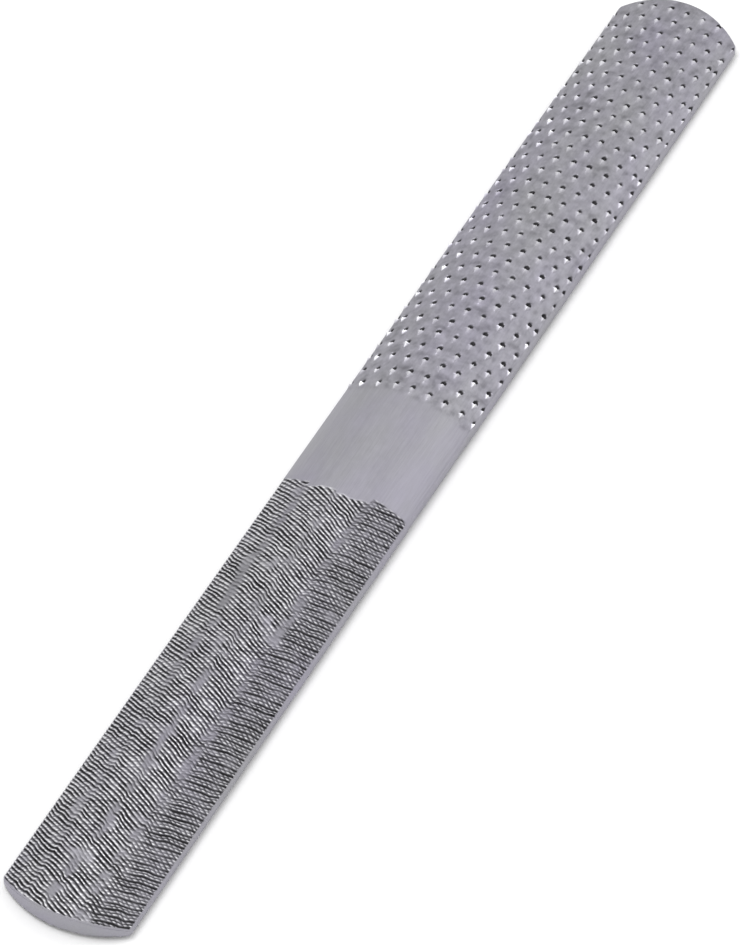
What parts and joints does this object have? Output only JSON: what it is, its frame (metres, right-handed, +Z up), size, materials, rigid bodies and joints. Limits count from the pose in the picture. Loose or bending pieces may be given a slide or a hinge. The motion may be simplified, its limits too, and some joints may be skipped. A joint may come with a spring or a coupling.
{
  "type": "wood rasp",
  "caption": "Half-round four-in-one wood rasp without a handle: rasp teeth on one half and file teeth on the other half of both the flat and the curved side.",
  "frame": {"origin": "middle of the length and width, on the plane through the tooth tips of the flat side", "axes": "+Z up through the half-round side, +Y along the tool towards the rasp half, +X across the width"},
  "size_m": [0.02, 0.2, 0.0064],
  "materials": {
    "blank": "ground hardened steel with fine lengthwise grinding lines",
    "half_round_rasp_teeth": "punched hardened steel, satin",
    "half_round_file_teeth": "chiselled hardened steel, bright crests and dark grooves",
    "flat_rasp_teeth": "punched hardened steel, satin",
    "flat_file_teeth": "chiselled hardened steel, bright crests and dark grooves"
  },
  "bodies": {
    "root": {"blank": "blank", "half_round_rasp_teeth": "half_round_rasp_teeth", "half_round_file_teeth": "half_round_file_teeth", "flat_rasp_teeth": "flat_rasp_teeth", "flat_file_teeth": "flat_file_teeth"}
  },
  "joints": []
}
